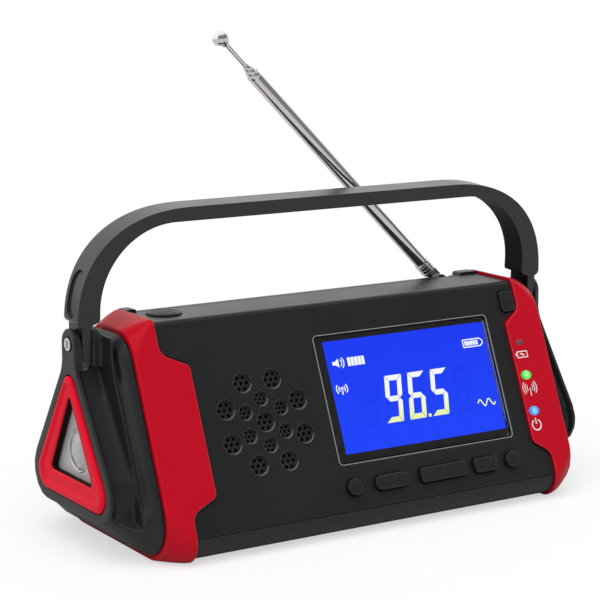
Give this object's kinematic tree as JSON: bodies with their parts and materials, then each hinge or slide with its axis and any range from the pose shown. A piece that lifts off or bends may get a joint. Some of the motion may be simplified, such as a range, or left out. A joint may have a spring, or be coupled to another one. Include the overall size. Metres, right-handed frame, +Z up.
{
  "type": "emergency radio",
  "caption": "Portable crank radio with a wedge body, folding carry handle, telescopic antenna, backlit display, loudspeaker grille, end torch, solar panel and crank dynamo.",
  "frame": {"origin": "middle of the length and depth of the body, on the table plane under the bumpers", "axes": "+X along the radio towards the port end, +Y away from the display side, +Z up"},
  "size_m": [0.1918, 0.0814, 0.1668],
  "materials": {
    "black_abs": "fine matte texture",
    "dark_grey_abs": "matte",
    "red_abs": "satin",
    "chrome": "polished",
    "steel": "zinc plated",
    "clear_plastic": "clear",
    "display_glass": "glossy",
    "display_blue": "backlit",
    "board_green": "solder mask",
    "solar_cell": "glossy",
    "speaker_paper": "paper",
    "battery_wrap": "shrink film",
    "brass": "machined",
    "white_nylon": "moulded"
  },
  "bodies": {
    "chassis": {"battery": "battery_wrap", "charge_light": "clear_plastic", "charge_socket": "steel", "display_frame": "chrome", "display_panel": "display_blue", "display_window": "display_glass", "dynamo": "steel", "front_cover": "black_abs", "gear_plate": "steel", "left_bumper": "red_abs", "left_cover_screw": "steel", "left_end_cap": "black_abs", "left_pivot_pin": "steel", "main_board": "board_green", "port_board": "board_green", "power_light": "clear_plastic", "rear_cover": "black_abs", "right_bumper": "red_abs", "right_cover_screw": "steel", "right_end_cap": "black_abs", "right_pivot_pin": "steel", "signal_light": "clear_plastic", "solar_panel": "solar_cell", "speaker": "steel", "speaker_cone": "speaker_paper", "torch_frame": "red_abs", "torch_led": "white_nylon", "torch_lens": "clear_plastic", "torch_reflector": "chrome", "usb_socket": "steel"},
    "handle": {"handle": "black_abs"},
    "antenna_swivel": {"antenna_base": "chrome", "antenna_pin": "chrome"},
    "antenna_mast": {"antenna_knuckle": "chrome", "antenna_tube_1": "chrome"},
    "antenna_second_section": {"antenna_tube_2": "chrome"},
    "antenna_third_section": {"antenna_tube_3": "chrome"},
    "antenna_end_section": {"antenna_tip": "chrome"},
    "crank": {"crank_disc": "dark_grey_abs", "crank_gear": "white_nylon", "knob_pin": "steel"},
    "crank_knob": {"crank_knob": "black_abs"},
    "dynamo_rotor": {"dynamo_pinion": "brass", "dynamo_shaft": "steel"},
    "port_cover": {"port_cover": "red_abs"},
    "memory_button": {"memory_button": "black_abs"},
    "tuning_button": {"tuning_button": "black_abs"},
    "volume_button": {"volume_button": "black_abs"},
    "band_button": {"band_button": "black_abs"},
    "power_button": {"power_button": "black_abs"},
    "alarm_button": {"alarm_button": "black_abs"},
    "torch_button": {"torch_button": "black_abs"}
  },
  "joints": [
    {"name": "handle_fold", "type": "hinge", "parent": "chassis", "child": "handle", "pos_m": [0, 0, 0.0683], "axis": [1, 0, 0], "range_deg": [-8, 85]},
    {"name": "antenna_turn", "type": "hinge", "parent": "chassis", "child": "antenna_swivel", "pos_m": [0.06129, 0.013, 0.0728], "axis": [0, 0, 1], "range_deg": [-90, 0]},
    {"name": "antenna_tilt", "type": "hinge", "parent": "antenna_swivel", "child": "antenna_mast", "pos_m": [0.06129, 0.013, 0.0728], "axis": [0, 1, 0], "range_deg": [-41.5, 45]},
    {"name": "antenna_second_slide", "type": "slide", "parent": "antenna_mast", "child": "antenna_second_section", "axis": [-0.7071, 0, 0.7071], "range_m": [0, 0.095]},
    {"name": "antenna_third_slide", "type": "slide", "parent": "antenna_second_section", "child": "antenna_third_section", "axis": [-0.7071, 0, 0.7071], "range_m": [0, 0.095]},
    {"name": "antenna_end_slide", "type": "slide", "parent": "antenna_third_section", "child": "antenna_end_section", "axis": [-0.7071, 0, 0.7071], "range_m": [-0.0102, 0.085]},
    {"name": "crank_turn", "type": "hinge", "parent": "chassis", "child": "crank", "pos_m": [0.043, 0.02768, 0.03774], "axis": [0, 0.9205, 0.3907], "continuous": true},
    {"name": "knob_fold", "type": "hinge", "parent": "crank", "child": "crank_knob", "pos_m": [0.032, 0.02519, 0.03669], "axis": [0, -0.3907, 0.9205], "range_deg": [0, 90]},
    {"name": "dynamo_turn", "type": "hinge", "parent": "chassis", "child": "dynamo_rotor", "pos_m": [0.0238, 0.02768, 0.03774], "axis": [0, 0.9205, 0.3907], "continuous": true},
    {"name": "port_cover_open", "type": "hinge", "parent": "chassis", "child": "port_cover", "pos_m": [0.0953, 0, 0.0163], "axis": [0, 1, 0], "range_deg": [0, 100]},
    {"name": "memory_button_press", "type": "slide", "parent": "chassis", "child": "memory_button", "axis": [0, 0.9205, -0.3907], "range_m": [0, 0.0008], "stiffness_N_per_m": 500, "springref_m": -0.001},
    {"name": "tuning_button_press", "type": "slide", "parent": "chassis", "child": "tuning_button", "axis": [0, 0.9205, -0.3907], "range_m": [0, 0.0008], "stiffness_N_per_m": 500, "springref_m": -0.001},
    {"name": "volume_button_press", "type": "slide", "parent": "chassis", "child": "volume_button", "axis": [0, 0.9205, -0.3907], "range_m": [0, 0.0008], "stiffness_N_per_m": 500, "springref_m": -0.001},
    {"name": "band_button_press", "type": "slide", "parent": "chassis", "child": "band_button", "axis": [0, 0.9205, -0.3907], "range_m": [0, 0.0008], "stiffness_N_per_m": 500, "springref_m": -0.001},
    {"name": "power_button_press", "type": "slide", "parent": "chassis", "child": "power_button", "axis": [0, 0.9205, -0.3907], "range_m": [0, 0.0008], "stiffness_N_per_m": 500, "springref_m": -0.001},
    {"name": "alarm_button_press", "type": "slide", "parent": "chassis", "child": "alarm_button", "axis": [0, 0.9205, -0.3907], "range_m": [0, 0.0008], "stiffness_N_per_m": 500, "springref_m": -0.001},
    {"name": "torch_button_press", "type": "slide", "parent": "chassis", "child": "torch_button", "axis": [0, 0, -1], "range_m": [0, 0.0008], "stiffness_N_per_m": 500, "springref_m": -0.001}
  ],
  "couplings": [
    {"joint": "dynamo_turn", "follows": "crank_turn", "ratio": -3}
  ]
}
